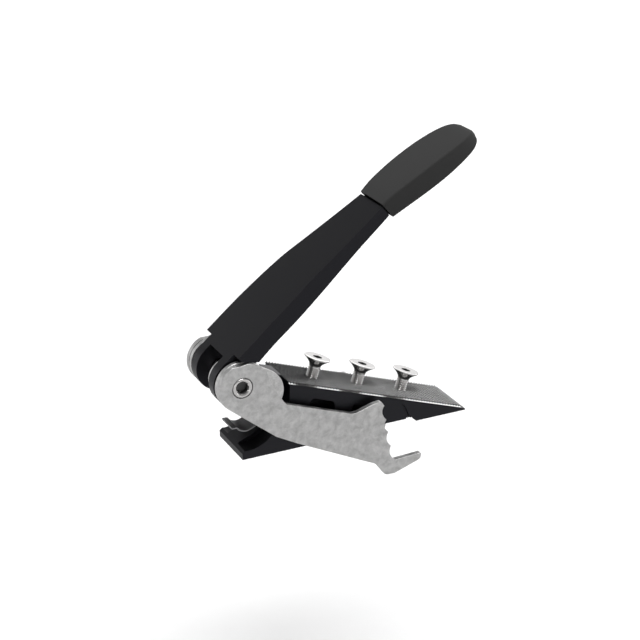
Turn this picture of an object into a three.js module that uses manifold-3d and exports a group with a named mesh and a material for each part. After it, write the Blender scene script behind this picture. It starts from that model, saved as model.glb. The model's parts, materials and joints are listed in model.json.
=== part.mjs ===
// Lever-operated hook clamp on a wedge-shaped mounting block.
// Millimetres, +Z up, +X along the underside towards the wedge tip, +Y across the clamp.
// Profiles are drawn from the lever's cross bolt; the finished group is moved so that its
// origin is the middle of the serrated mounting face.
import * as THREE from 'three';
import Module from 'manifold-3d';

const wasm = await Module();
wasm.setup();

const rad = (deg) => deg * Math.PI / 180;

// ---- driving dimensions ----
const GAP = 0.3;                       // clearance between touching pieces
const SLOPE = 19.24;                   // fall of the serrated face, degrees
const UNDERSIDE = -39.3;               // underside height below the cross bolt
const FACE_END = [25.9, -4.55];        // high end of the serrated face
const FACE_LENGTH = 96.8;
const TIP = [119.3, -38.5];
const BLOCK_HALF = 14.2;
const EDGE_CHAMFER = 1.3;
const FOOT_X = 0.9;
const FOOT_THICK = 3.1;

const AXLE = [8.3, -7.6];              // lever axle, seen from the cross bolt
const TONGUE_R = 6.9;
const TONGUE = [-4.8, 7.4];            // sides of the tongue, set over to the far side
const TONGUE_DROP = 0.3;               // tongue top below the serrated face
const TONGUE_ROOT_X = 19.5;
const RECESS = [3.4, -17.7];           // centre of the round recess under the cross bolt
const RECESS_R = 17.5;
const RECESS_WEB_R = 15.3;

const SCREW_PITCH = 25;
const SCREW_START = 18.67;             // first screw from the high end of the face
const SCREW_HEAD_R = 6.45;
const SCREW_R = 3;
const SCREW_LENGTH = 20;
const SCREW_STAND = 9.55;              // head top above the serrated face
const SCREW_HEX = 4;

const LEVER_ANGLE = 39.7;
const EAR_R = 11.7;
const EAR_IN = 7.7;
const EAR_OUT = 13.7;
const EAR_AXLE_R = 9.5;
const SLOT_R = 12.7;
const SHOULDER = [[-2, 12.9], [9.4, 10.7]]; // line of the flat over each plate's head
const SHOULDER_START = 8.3;
const TANG_END = 146;
const TANG_HALF = 6;

const WASHER = [14.0, 14.5];
const DISC = [14.8, 17.2];
const DISC_R = 11.6;
const DISC_LOBE = [10.2, -5.9];
const DISC_LOBE_R = 11.3;
const PLATE = [17.5, 20.2];
const PLATE_HEAD_R = 11.7;
const HEAD_HOLE_R = 5.1;
const BOLT_HEAD_R = 4.8;
const BOLT_HEX = 5;
const BOLT_SHANK_R = 2.4;
const SHAFT_R = 4;
const AXLE_R = 2.9;
const BUSH_R = 4.6;
const THRUST = [5.1, 7.4];
const THRUST_CENTRE = [-1.35, 0.4];
const THRUST_R = 9.5;

// ---- solids ----
const solidOf = (geometry) => {
  const pos = geometry.index ? geometry.toNonIndexed().attributes.position
    : geometry.attributes.position;
  const index = new Map();
  const verts = [];
  const tris = [];
  for (let i = 0; i < pos.count; i += 1) {
    const p = [pos.getX(i), pos.getY(i), pos.getZ(i)];
    const key = p.map((v) => Math.round(v * 1e5)).join(',');
    if (!index.has(key)) {
      index.set(key, verts.length / 3);
      verts.push(...p);
    }
    tris.push(index.get(key));
  }
  const clean = [];
  for (let i = 0; i < tris.length; i += 3) {
    const [a, b, c] = [tris[i], tris[i + 1], tris[i + 2]];
    if (a !== b && b !== c && a !== c) clean.push(a, b, c);
  }
  return new wasm.Manifold(new wasm.Mesh({
    numProp: 3,
    vertProperties: new Float32Array(verts),
    triVerts: new Uint32Array(clean),
  }));
};

const union = (...parts) => parts.reduce((a, b) => a.add(b));
const cut = (base, ...tools) => tools.reduce((a, b) => a.subtract(b), base);

// profile in the X-Z plane, given thickness from y0 to y1
const slab = (shape, y0, y1, segments = 16) => {
  const g = new THREE.ExtrudeGeometry(shape, {
    depth: y1 - y0, bevelEnabled: false, curveSegments: segments,
  });
  g.rotateX(Math.PI / 2);
  g.translate(0, y1, 0);
  return solidOf(g);
};
const bothSides = (shape, y0, y1, segments) => union(
  slab(shape, y0, y1, segments),
  slab(shape, -y1, -y0, segments),
);

const polygon = (points) => new THREE.Shape(points.map(([x, z]) => new THREE.Vector2(x, z)));

// outline whose corners [x, z, radius] are rounded with arcs
const outline = (corners, steps = 5) => {
  const pts = [];
  const n = corners.length;
  corners.forEach(([x, z, r = 0], i) => {
    const at = new THREE.Vector2(x, z);
    if (r === 0) {
      pts.push([x, z]);
      return;
    }
    const back = new THREE.Vector2(...corners[(i + n - 1) % n].slice(0, 2)).sub(at);
    const ahead = new THREE.Vector2(...corners[(i + 1) % n].slice(0, 2)).sub(at);
    const half = back.angleTo(ahead) / 2;
    const reach = Math.min(r / Math.tan(half), 0.48 * back.length(), 0.48 * ahead.length());
    const start = at.clone().addScaledVector(back.normalize(), reach);
    const end = at.clone().addScaledVector(ahead.normalize(), reach);
    for (let k = 0; k <= steps; k += 1) {
      const t = k / steps;
      const p = new THREE.QuadraticBezierCurve(start, at, end).getPoint(t);
      pts.push([p.x, p.y]);
    }
  });
  return polygon(pts);
};

const circle = (x, z, r) => {
  const s = new THREE.Shape();
  s.absarc(x, z, r, 0, 2 * Math.PI);
  return s;
};

// points along an arc between two angles in degrees
const arc = (x, z, r, from, to, count = 12) => Array.from({ length: count + 1 }, (_, i) => {
  const a = rad(from + (to - from) * i / count);
  return [x + r * Math.cos(a), z + r * Math.sin(a)];
});

// straight-sided link round two circles
const link = (rFirst, rSecond, first = [0, 0], second = AXLE) => {
  const [dx, dz] = [second[0] - first[0], second[1] - first[1]];
  const along = Math.atan2(dz, dx) * 180 / Math.PI;
  const lean = Math.acos((rFirst - rSecond) / Math.hypot(dx, dz)) * 180 / Math.PI;
  return polygon([
    ...arc(...first, rFirst, along + lean, along + 360 - lean, 30),
    ...arc(...second, rSecond, along - lean, along + lean, 26),
  ]);
};

const rod = (x, z, r, y0, y1, segments = 40) => slab(circle(x, z, r), y0, y1, segments / 4);

// hexagon across flats, prism along Z between two heights
const hexPrism = (flats, z0, z1) => {
  const g = new THREE.CylinderGeometry(flats / Math.sqrt(3), flats / Math.sqrt(3), z1 - z0, 6);
  g.rotateX(Math.PI / 2);
  g.translate(0, 0, (z0 + z1) / 2);
  return solidOf(g);
};

// closed lathe about Z from [radius, height] points
const turned = (profile, segments = 40) => {
  const g = new THREE.LatheGeometry(profile.map(([r, z]) => new THREE.Vector2(r, z)), segments);
  g.rotateX(Math.PI / 2);
  return solidOf(g);
};

const turn = (solid, degY) => solid.rotate([0, degY, 0]);

// ---- materials ----
const steel = (color, roughness) => ({ color, roughness, metalness: 1 });
const MATERIALS = {
  block: { color: 0x1b1b1c, roughness: 0.42, metalness: 0.6 },
  lever: { color: 0x18181a, roughness: 0.4, metalness: 0.5 },
  rubber: { color: 0x1a1a1b, roughness: 0.75, metalness: 0 },
  plate: steel(0xa9a8a6, 0.42),
  disc: steel(0xb4b3b1, 0.35),
  bright: steel(0xc9c8c5, 0.22),
  washer: { color: 0x0e0e0f, roughness: 0.6, metalness: 0 },
  spring: steel(0x7e7e7f, 0.35),
  bronze: steel(0x9a7440, 0.4),
};

const group = new THREE.Group();
group.name = 'hook_clamp';
const SLOPE_X = Math.cos(rad(SLOPE));
const SLOPE_Z = Math.sin(rad(SLOPE));
// point on the serrated face, a distance along it and a height above it
const onFace = (along, above = 0) => [
  FACE_END[0] + along * SLOPE_X + above * SLOPE_Z,
  FACE_END[1] - along * SLOPE_Z + above * SLOPE_X,
];
const MOUNT = onFace(SCREW_START + 1.5 * SCREW_PITCH);

const place = (name, solid, look) => {
  const mesh = solid.getMesh();
  const g = new THREE.BufferGeometry();
  g.setAttribute('position', new THREE.BufferAttribute(new Float32Array(mesh.vertProperties), 3));
  g.setIndex(new THREE.BufferAttribute(new Uint32Array(mesh.triVerts), 1));
  g.translate(-MOUNT[0], 0, -MOUNT[1]);
  g.computeVertexNormals();
  const piece = new THREE.Mesh(g, new THREE.MeshStandardMaterial(MATERIALS[look]));
  piece.name = name;
  group.add(piece);
};

// ---- wedge block ----
const faceEnd = onFace(FACE_LENGTH);
const wedgeProfile = polygon([
  FACE_END, faceEnd, TIP, [TIP[0], UNDERSIDE],
  [92.1, UNDERSIDE], [90.4, -37.8], [89.6, -36.5], [88.5, -37.1],
  [37, -37.1], [34, UNDERSIDE], [FOOT_X, UNDERSIDE], [FOOT_X, UNDERSIDE + FOOT_THICK],
  [3.3, -34.3], [5, -33.7], [9, -32], [17, -26], [20.6, -20], [25.4, -16.5],
]);
const tongueProfile = polygon([
  onFace(1, -TONGUE_DROP), onFace(0, -TONGUE_DROP),
  ...arc(AXLE[0], AXLE[1], TONGUE_R, 90 - SLOPE, 250, 14), [20, -21], [27, -24],
]);
// cross section of the wedge with its chamfered long edges, run along the serrated face
const sectionHalf = BLOCK_HALF - EDGE_CHAMFER;
const section = solidOf(new THREE.ExtrudeGeometry(polygon([
  [-BLOCK_HALF, -60], [BLOCK_HALF, -60], [BLOCK_HALF, -EDGE_CHAMFER], [sectionHalf, 0],
  [-sectionHalf, 0], [-BLOCK_HALF, -EDGE_CHAMFER],
]), { depth: 220, bevelEnabled: false }).translate(0, 0, -110)
  .rotateX(Math.PI / 2).rotateZ(Math.PI / 2));
const sectionPlaced = turn(section, SLOPE).translate([FACE_END[0], 0, FACE_END[1]]);

const wedge = slab(wedgeProfile, -BLOCK_HALF, BLOCK_HALF).intersect(sectionPlaced);
const tongueRoot = polygon([
  onFace(1, -TONGUE_DROP), onFace(-6.5, -TONGUE_DROP), [TONGUE_ROOT_X, -21], [27, -24],
]);
const tongue = union(slab(tongueProfile, ...TONGUE), slab(tongueRoot, ...TONGUE));
const windows = [
  [[35, -33, 2], [48.6, -33, 2], [48.6, -19.6, 2.5], [37.2, -15.3, 2.5], [35, -19, 2]],
  [[56.4, -34, 2], [70.2, -34, 2], [70.2, -27.2, 2.5], [58.8, -23, 2.5], [56.4, -26.6, 2]],
].map((corners) => slab(outline(corners), -BLOCK_HALF - 1, BLOCK_HALF + 1));
const tipGroove = bothSides(
  polygon([[83.3, -28.3], [85.2, -28.9], [87.1, -32.5], [88.9, -37.3], [86.7, -37.3],
    [86, -34.9], [85.5, -33.2]]),
  BLOCK_HALF - 1,
  BLOCK_HALF + 1,
);
const screwHoles = [0, 1, 2].map((i) => {
  const [x, z] = onFace(SCREW_START + i * SCREW_PITCH);
  const hole = turned([[0, -40], [SCREW_R + GAP, -40], [SCREW_R + GAP, 3], [0, 3]], 32);
  return turn(hole, SLOPE).translate([x, 0, z]);
});
const LEAF_SCREW = [19.2, -23.4];
const LEAF_SCREW_TILT = -70;
const leafScrewHole = turn(turned([[0, -7], [1.5, -7], [1.5, 6], [0, 6]], 20), LEAF_SCREW_TILT)
  .translate([LEAF_SCREW[0], 0, LEAF_SCREW[1]]);
const recess = circle(...RECESS, RECESS_R);
place('wedge_block', cut(
  union(
    cut(
      wedge,
      slab(recess, -BLOCK_HALF - 1, TONGUE[0]),
      slab(recess, TONGUE[1], BLOCK_HALF + 1),
    ),
    tongue,
  ),
  slab(circle(...RECESS, RECESS_WEB_R), ...TONGUE)
    .subtract(slab(tongueProfile, -BLOCK_HALF, BLOCK_HALF)),
  rod(AXLE[0], AXLE[1], BUSH_R + GAP, -BLOCK_HALF, BLOCK_HALF),
  ...windows,
  tipGroove,
  ...screwHoles,
  leafScrewHole,
), 'block');

// ---- mounting screws, half unscrewed ----
const screwSolid = cut(
  turned([
    [0, 0], [SCREW_HEAD_R - 0.3, 0], [SCREW_HEAD_R, -0.3], [SCREW_HEAD_R - 0.2, -0.6],
    [4.6, -2], [3.6, -3.2], [SCREW_R - 0.1, -5], [SCREW_R - 0.1, -6], [SCREW_R, -6.2],
    [SCREW_R, 0.6 - SCREW_LENGTH], [SCREW_R - 0.6, -SCREW_LENGTH], [0, -SCREW_LENGTH],
  ].reverse()),
  hexPrism(SCREW_HEX, -2.6, 1),
);
for (let i = 0; i < 3; i += 1) {
  const [x, z] = onFace(SCREW_START + i * SCREW_PITCH, SCREW_STAND);
  place(`mounting_screw_${i + 1}`, turn(screwSolid, SLOPE).translate([x, 0, z]), 'bright');
}

// ---- leaf spring in the recess ----
const LEAF_HALF = 6.2;
const LEAF_THICK = 0.7;
const leafCurve = new THREE.SplineCurve([
  [1.9, -26.4], [3.2, -27.9], [6.3, -28.9], [9.8, -27.9], [13, -26], [15.6, -23.6], [17.3, -20],
].map(([x, z]) => new THREE.Vector2(x, z)));
const leafLine = [new THREE.Vector2(-0.7, -26.3), ...leafCurve.getPoints(30)];
const offsetLine = (line, by) => line.map((p, i) => {
  const a = line[Math.max(0, i - 1)];
  const b = line[Math.min(line.length - 1, i + 1)];
  const d = b.clone().sub(a).normalize();
  return [p.x - d.y * by, p.y + d.x * by];
});
const leafProfile = polygon([
  ...offsetLine(leafLine, -LEAF_THICK / 2),
  ...offsetLine(leafLine, LEAF_THICK / 2).reverse(),
]);
place('leaf_spring', cut(
  slab(leafProfile, -LEAF_HALF, LEAF_HALF),
  turn(turned([[0, -9], [1.8, -9], [1.8, 9], [0, 9]], 20), LEAF_SCREW_TILT)
    .translate([LEAF_SCREW[0], 0, LEAF_SCREW[1]]),
), 'spring');
place('leaf_screw', turn(
  cut(
    turned([[0, -6], [1.2, -6], [1.2, 4], [2.4, 4], [2.4, 5.3], [2, 5.7], [0, 5.7]], 24),
    hexPrism(2, 4.6, 7),
  ),
  LEAF_SCREW_TILT,
).translate([LEAF_SCREW[0], 0, LEAF_SCREW[1]]), 'bright');

// ---- lever axle in its bush ----
place('axle_bush', cut(
  rod(AXLE[0], AXLE[1], BUSH_R, ...TONGUE),
  rod(AXLE[0], AXLE[1], AXLE_R + 0.1, -BLOCK_HALF, BLOCK_HALF),
), 'bronze');
place('axle_pin', rod(AXLE[0], AXLE[1], AXLE_R, -DISC[1], DISC[1]), 'bright');

// ---- lever arm ----
const arm = (solid) => turn(solid, -LEVER_ANGLE);
const spline = (points, count = 24) => new THREE.SplineCurve(
  points.map(([s, t]) => new THREE.Vector2(s, t)),
).getPoints(count).map((p) => [p.x, p.y]);
const mirrored = (half) => polygon([
  ...half,
  ...half.map(([s, w]) => [s, -w]).reverse(),
]);
const plan = (shape, t0, t1, bevel = 0) => {
  const g = new THREE.ExtrudeGeometry(shape, {
    depth: t1 - t0 - 2 * bevel, bevelEnabled: bevel > 0, bevelThickness: bevel,
    bevelSize: bevel, bevelOffset: -bevel, bevelSegments: 3, curveSegments: 8,
  });
  g.translate(0, 0, t0 + bevel);
  return solidOf(g);
};
const armSide = slab(polygon([
  [-4, 11.8], ...spline([[30, 11.9], [56, 11.1], [72, 9.5], [88, 7.9], [104, 6.6]], 16),
  [105, 5.4], [TANG_END, 0.6], [TANG_END, -4.6], [105, 0.8],
  ...spline([[103, 0.7], [92, 1.4], [82, 2], [65, 2.4], [38, 2.8], [24, 3.2], [12, 2.7]], 16),
  [-4, 2.6],
]), -25, 25);
const armPlan = plan(mirrored([
  [-4, EAR_OUT], [SHOULDER_START, EAR_OUT], [SHOULDER_START, 19.4],
  ...spline([[21, 19.3], [40, 18.6], [56, 17.3], [72, 15.4], [88, 13.3], [104, 11]], 16),
  [104.5, TANG_HALF], [TANG_END, TANG_HALF],
]), -30, 30);
const ears = bothSides(link(EAR_R, EAR_AXLE_R), EAR_IN, EAR_OUT);
place('lever_arm', cut(
  union(
    cut(
      arm(armSide.intersect(armPlan)),
      bothSides(polygon([...SHOULDER, [25, -20], [-25, -20]]), EAR_OUT + 0.01, 25),
      slab(circle(0, 0, SLOT_R), -EAR_IN, EAR_IN, 16),
    ).subtract(slab(polygon([[-30, -30], [-0.1, -30], [-0.1, 8], [-6.5, 9.4], [-30, 20]]), -25, 25)),
    ears,
  ),
  rod(0, 0, SHAFT_R + GAP, -25, 25),
  rod(AXLE[0], AXLE[1], AXLE_R + GAP, -25, 25),
), 'lever');

// ---- rubber grip over the lever's tang ----
const gripPlan = plan(mirrored(spline([
  [104.8, 11.4], [112, 12.4], [124, 13.5], [135, 13.7], [145, 13.2], [154, 11.4], [158.5, 8.3],
  [160.7, 2],
], 22)), -12, 12);
const gripSide = slab(polygon([
  ...spline([[104.8, 7.8], [112, 7.7], [124, 6.2], [135, 4.3], [145, 2.1], [154, -0.3],
    [159, -2.4], [160.8, -5]], 20),
  ...spline([[159.6, -7.4], [154, -8.4], [145, -7.6], [135, -6.4], [124, -4.6], [112, -2.6],
    [104.8, -1.6]], 20),
]), -25, 25);
const tangHole = slab(polygon([
  [100, 6.3], [TANG_END + 1, 1], [TANG_END + 1, -5.2], [100, 0.8],
]), -TANG_HALF - GAP, TANG_HALF + GAP);
place('lever_grip', arm(cut(gripPlan.intersect(gripSide), tangHole)), 'rubber');

// ---- discs, washers and thrust plate on the lever's ears ----
const SIDES = { near: -1, far: 1 };
const sided = (side, shape, y0, y1) => (side < 0 ? slab(shape, -y1, -y0) : slab(shape, y0, y1));
const shaftHole = rod(0, 0, SHAFT_R + GAP, -25, 25);
const axleHole = rod(AXLE[0], AXLE[1], AXLE_R + GAP, -25, 25);
for (const [name, side] of Object.entries(SIDES)) {
  place(`cam_disc_${name}`, cut(
    sided(side, link(DISC_R, DISC_LOBE_R, [0, 0], DISC_LOBE), ...DISC), shaftHole, axleHole,
  ), 'disc');
  place(`wear_washer_${name}`, cut(
    sided(side, link(EAR_R - 0.6, EAR_AXLE_R - 0.6), ...WASHER), shaftHole, axleHole,
  ), 'washer');
}
place('thrust_plate', cut(
  sided(SIDES.near, link(THRUST_R, EAR_AXLE_R, THRUST_CENTRE), ...THRUST), shaftHole, axleHole,
), 'disc');

// ---- hook plates ----
const toothTips = [[71.8, -24.3], [72.9, -31.9], [73.9, -38.6], [75.3, -46.3], [77.2, -54.2]];
const TOOTH_DEPTH = 1.6;
const scallop = (from, to) => {
  const curve = new THREE.QuadraticBezierCurve(
    new THREE.Vector2(...from),
    new THREE.Vector2((from[0] + to[0]) / 2 - 2 * TOOTH_DEPTH, (from[1] + to[1]) / 2),
    new THREE.Vector2(...to),
  );
  return curve.getPoints(8).map((p) => [p.x, p.y]);
};
const teeth = toothTips.slice(1).flatMap((tip, i) => scallop(toothTips[i], tip).slice(0, -1));
const plateOutline = outline([
  ...arc(0, 0, PLATE_HEAD_R, 232, 112, 24),
  [-0.9, 10.8, 3], [4, 11.5, 3], [8.6, 9.4, 3], [12, 6.4, 2.5], [13.2, 0.6, 6],
  [21, -12.6, 5], [56, -25.3, 8], [66, -22.3, 3], [70.2, -21.9, 1.2],
  ...teeth,
  [77.3, -54.3, 0.8], [91.7, -53.7, 0.6], [91.4, -56.8, 2.5], [77, -61.5, 4], [72.2, -61.3, 3],
  [67, -54.1, 4], [27, -34.2, 14], [15.9, -28.1, 6],
]);
for (const [name, side] of Object.entries(SIDES)) {
  place(`hook_plate_${name}`, cut(
    sided(side, plateOutline, ...PLATE), rod(0, 0, HEAD_HOLE_R, -25, 25),
  ), 'plate');
}

// ---- cross shaft and its two socket bolts ----
place('cross_shaft', cut(
  rod(0, 0, SHAFT_R, -DISC[1], DISC[1]),
  bothSides(circle(0, 0, BOLT_SHANK_R + GAP), 5, 25),
), 'bright');
const boltSolid = cut(
  turned([
    [0, -11.5], [BOLT_SHANK_R, -11.5], [BOLT_SHANK_R, -2.8], [BOLT_HEAD_R, -2.8],
    [BOLT_HEAD_R, -0.4], [BOLT_HEAD_R - 0.4, 0], [0, 0],
  ]),
  hexPrism(BOLT_HEX, -2.2, 1),
);
for (const [name, side] of Object.entries(SIDES)) {
  const bolt = boltSolid.rotate([side < 0 ? 90 : -90, 0, 0]);
  place(`pivot_bolt_${name}`, bolt.translate([0, side * (PLATE[1] + 0.2), 0]), 'bright');
}

export default group;
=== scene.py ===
"""Lever-operated hook clamp on a wedge block, finished for rendering around its CAD frame."""
import bmesh
import bpy
import json
import math
from mathutils import Matrix, Vector


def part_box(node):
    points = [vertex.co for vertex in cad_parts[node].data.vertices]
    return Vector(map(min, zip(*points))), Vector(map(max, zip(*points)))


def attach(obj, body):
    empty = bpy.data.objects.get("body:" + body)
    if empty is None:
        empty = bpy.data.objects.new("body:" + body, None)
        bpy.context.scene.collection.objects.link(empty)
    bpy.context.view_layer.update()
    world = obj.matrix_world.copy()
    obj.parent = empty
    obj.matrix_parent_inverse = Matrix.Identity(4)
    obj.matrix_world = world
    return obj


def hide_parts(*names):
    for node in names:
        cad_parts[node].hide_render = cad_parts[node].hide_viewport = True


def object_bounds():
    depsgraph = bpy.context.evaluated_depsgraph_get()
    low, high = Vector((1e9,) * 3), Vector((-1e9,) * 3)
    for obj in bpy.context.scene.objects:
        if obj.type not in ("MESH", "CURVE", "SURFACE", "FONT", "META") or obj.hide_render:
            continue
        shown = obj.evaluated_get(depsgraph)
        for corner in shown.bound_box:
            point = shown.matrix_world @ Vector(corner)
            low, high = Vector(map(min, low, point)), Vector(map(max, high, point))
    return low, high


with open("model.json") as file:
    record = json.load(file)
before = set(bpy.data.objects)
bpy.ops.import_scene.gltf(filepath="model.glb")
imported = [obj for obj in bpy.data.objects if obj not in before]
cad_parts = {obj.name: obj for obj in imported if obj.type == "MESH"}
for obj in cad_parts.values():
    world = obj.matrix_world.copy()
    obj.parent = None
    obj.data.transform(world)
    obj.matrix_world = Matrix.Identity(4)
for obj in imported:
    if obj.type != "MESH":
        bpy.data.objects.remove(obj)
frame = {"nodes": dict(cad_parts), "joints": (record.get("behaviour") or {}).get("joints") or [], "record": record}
CAD_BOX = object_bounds()

bl_info = {
    "name": "Hook clamp",
    "version": (1, 0, 0),
    "blender": (4, 5, 0),
    "location": "View3D > Sidebar > Clamp",
    "description": "Builds the detailed pieces of a lever-operated hook clamp",
    "category": "Object",
}

MM = 0.001
BOLT = next(Vector(j["pos_m"]) for j in frame["joints"] if j["name"] == "hook_hinge")
LEVER_ANGLE = math.radians(39.7)
ALONG_LEVER = Vector((math.cos(LEVER_ANGLE), 0, math.sin(LEVER_ANGLE)))
OVER_LEVER = Vector((-math.sin(LEVER_ANGLE), 0, math.cos(LEVER_ANGLE)))
ACROSS = Vector((0, 1, 0))
FACE_UP = Vector(frame["record"]["mounts"][0]["axis"]).normalized()
FACE_ALONG = Vector((FACE_UP.z, 0, -FACE_UP.x))
SIDES = {"near": -1, "far": 1}
ROUND = 48                          # points around each turned ring
BEVEL_ANGLE = math.radians(28.0)    # edges that turn by less than this stay sharp
FLAT_WEIGHT = 80                    # how strongly large faces pull the normals
MERGE = 0.01 * MM
FLAT_TURN = math.radians(0.15)      # faces that turn by less than this are one face
FINE = 2                            # bevel segments of small pieces
SOCKET_REACH = 4                    # millimetres of depth searched for a socket's faces
MIX_A, MIX_B, MIX_OUT = 6, 7, 2     # sockets of the Mix node when it mixes colours

RUBBED_ANODISING = (0.16, 0.16, 0.165)
RUBBED_POINTS = (0.3, 0.3, 0.3)
RUBBED_RUBBER = (0.06, 0.06, 0.062)
# near-black painted shade that fills the valleys of the serrated face
VALLEY_PAINTED_SHADE = (0.004, 0.004, 0.004)
CUT_TONE = (0.7, 0.7, 0.7)
# dark tone painted into the screw and bolt sockets as shade
SOCKET_PAINTED_SHADE = (0.11, 0.11, 0.11)
FLOOR_SEEN = (0.93, 0.93, 0.93)     # the floor's tone to the camera
FLOOR_CAST = (0.5, 0.5, 0.5)        # and its tone in the light that it sends back

CAMERA_SPOT = Vector((-0.34127, -0.675973, 0.346978))
CAMERA_BACK = Vector((-0.38605939, -0.83986667, 0.38155225))
CAMERA_RIGHT = Vector((0.90509481, -0.42477512, -0.0192218))
CAMERA_LENS = 96.41
SENSOR_WIDTH = 36.0
CLIP_START, CLIP_END = 0.01, 50.0


# ---- sizes and colours ----
class ClampSizes(bpy.types.PropertyGroup):
    """Sizes of the details that the frame leaves plain."""
    serration_pitch: bpy.props.FloatProperty(
        name="Serration pitch", description="Distance between points of the serrated face",
        default=1.56 * MM, min=0.5 * MM, unit="LENGTH")
    serration_depth: bpy.props.FloatProperty(
        name="Serration depth", description="Height of the points over the valleys",
        default=0.85 * MM, min=0.1 * MM, unit="LENGTH")
    thread_pitch: bpy.props.FloatProperty(
        name="Thread pitch", description="Pitch of the mounting screws' threads",
        default=1.0 * MM, min=0.3 * MM, unit="LENGTH")
    thread_depth: bpy.props.FloatProperty(
        name="Thread depth", description="Depth of the mounting screws' threads",
        default=0.6 * MM, min=0.1 * MM, unit="LENGTH")
    plate_edge: bpy.props.FloatProperty(
        name="Plate edge", description="Rounding of the hook plates' and discs' edges",
        default=0.3 * MM, min=0.05 * MM, unit="LENGTH")
    lever_edge: bpy.props.FloatProperty(
        name="Lever edge", description="Rounding of the lever's edges",
        default=0.45 * MM, min=0.05 * MM, unit="LENGTH")
    block_edge: bpy.props.FloatProperty(
        name="Block edge", description="Rounding of the wedge block's edges",
        default=0.3 * MM, min=0.05 * MM, unit="LENGTH")


def colour_property(name, description, value):
    return bpy.props.FloatVectorProperty(
        name=name, description=description, default=value, size=3, min=0, max=1,
        subtype="COLOR")


class ClampColours(bpy.types.PropertyGroup):
    """Base colours of the finishes."""
    block: colour_property("Block", "Black anodising on the block", (0.014, 0.014, 0.0145))
    serration: colour_property("Serration", "Machined points of the face", (0.36, 0.36, 0.36))
    lever: colour_property("Lever", "Black anodising on the lever", (0.012, 0.012, 0.0125))
    grip: colour_property("Grip", "Rubber of the grip", (0.0095, 0.0095, 0.0098))
    plate: colour_property("Plate", "Tumbled stainless plates", (0.6, 0.597, 0.594))
    disc: colour_property("Disc", "Tumbled stainless discs", (0.66, 0.657, 0.653))
    bright: colour_property("Bright steel", "Turned stainless screws", (0.62, 0.615, 0.6))
    spring: colour_property("Spring", "Spring steel leaf", (0.2, 0.2, 0.205))
    washer: colour_property("Washer", "Black plastic washers", (0.012, 0.012, 0.012))
    bronze: colour_property("Bronze", "Bush of the axle", (0.42, 0.27, 0.12))


def sizes():
    return bpy.context.scene.clamp_sizes


def colours():
    return bpy.context.scene.clamp_colours


# ---- shader groups ----
def new_group(name, inputs, outputs):
    """Empty shader group with named sockets; returns it with its two end nodes."""
    group = bpy.data.node_groups.new(name, "ShaderNodeTree")
    for label, value in inputs:
        socket = group.interface.new_socket(label, in_out="INPUT", socket_type="NodeSocketFloat")
        socket.default_value = value
    for label, kind in outputs:
        group.interface.new_socket(label, in_out="OUTPUT", socket_type=kind)
    return group, group.nodes.new("NodeGroupInput"), group.nodes.new("NodeGroupOutput")


def add(tree, kind, links=(), **settings):
    """New node with its settings; links are (input, socket) or (input, plain value) pairs."""
    node = tree.nodes.new(kind)
    for key, value in settings.items():
        setattr(node, key, value)
    for key, source in links:
        if isinstance(source, bpy.types.NodeSocket):
            tree.links.new(source, node.inputs[key])
        else:
            node.inputs[key].default_value = source
    return node


def maths(tree, operation, first, second=0.0, clamp=False):
    node = add(tree, "ShaderNodeMath", [(0, first), (1, second)], operation=operation)
    node.use_clamp = clamp
    return node.outputs[0]


def group_of(name, build):
    return bpy.data.node_groups.get(name) or build(name)


def build_edge_wear(name):
    """Mask of the outer edges, broken up so that the wear isn't even."""
    group, start, end = new_group(
        name, [("Start", 0.52), ("Full", 0.6), ("Breakup", 0.5), ("Scale", 900.0)],
        [("Mask", "NodeSocketFloat")])
    place = add(group, "ShaderNodeTexCoord").outputs["Object"]
    clouds = add(group, "ShaderNodeTexNoise", [
        ("Vector", place), ("Scale", start.outputs["Scale"]), ("Detail", 4.0)])
    point = add(group, "ShaderNodeNewGeometry").outputs["Pointiness"]
    edge = add(group, "ShaderNodeMapRange", [
        ("Value", point), ("From Min", start.outputs["Start"]),
        ("From Max", start.outputs["Full"])])
    keep = add(group, "ShaderNodeMapRange", [
        ("Value", clouds.outputs["Fac"]), ("From Min", 0.35), ("From Max", 0.6)])
    gap = maths(group, "SUBTRACT", 1.0, keep.outputs[0])
    loss = maths(group, "MULTIPLY", gap, start.outputs["Breakup"])
    mask = maths(group, "MULTIPLY", edge.outputs[0], maths(group, "SUBTRACT", 1.0, loss))
    group.links.new(mask, end.inputs["Mask"])
    return group


def build_grain(name):
    """Fine even grain: a signed value about zero and a height."""
    group, start, end = new_group(
        name, [("Scale", 2500.0), ("Detail", 3.0)],
        [("Value", "NodeSocketFloat"), ("Clouds", "NodeSocketFloat"),
         ("Height", "NodeSocketFloat")])
    place = add(group, "ShaderNodeTexCoord").outputs["Object"]
    fine = add(group, "ShaderNodeTexNoise", [
        ("Vector", place), ("Scale", start.outputs["Scale"]),
        ("Detail", start.outputs["Detail"]), ("Roughness", 0.6)])
    broad = add(group, "ShaderNodeTexNoise", [
        ("Vector", place), ("Scale", 90.0), ("Detail", 4.0), ("Roughness", 0.55)])
    group.links.new(maths(group, "SUBTRACT", fine.outputs["Fac"], 0.5), end.inputs["Value"])
    group.links.new(maths(group, "SUBTRACT", broad.outputs["Fac"], 0.5), end.inputs["Clouds"])
    group.links.new(fine.outputs["Fac"], end.inputs["Height"])
    return group


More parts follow.
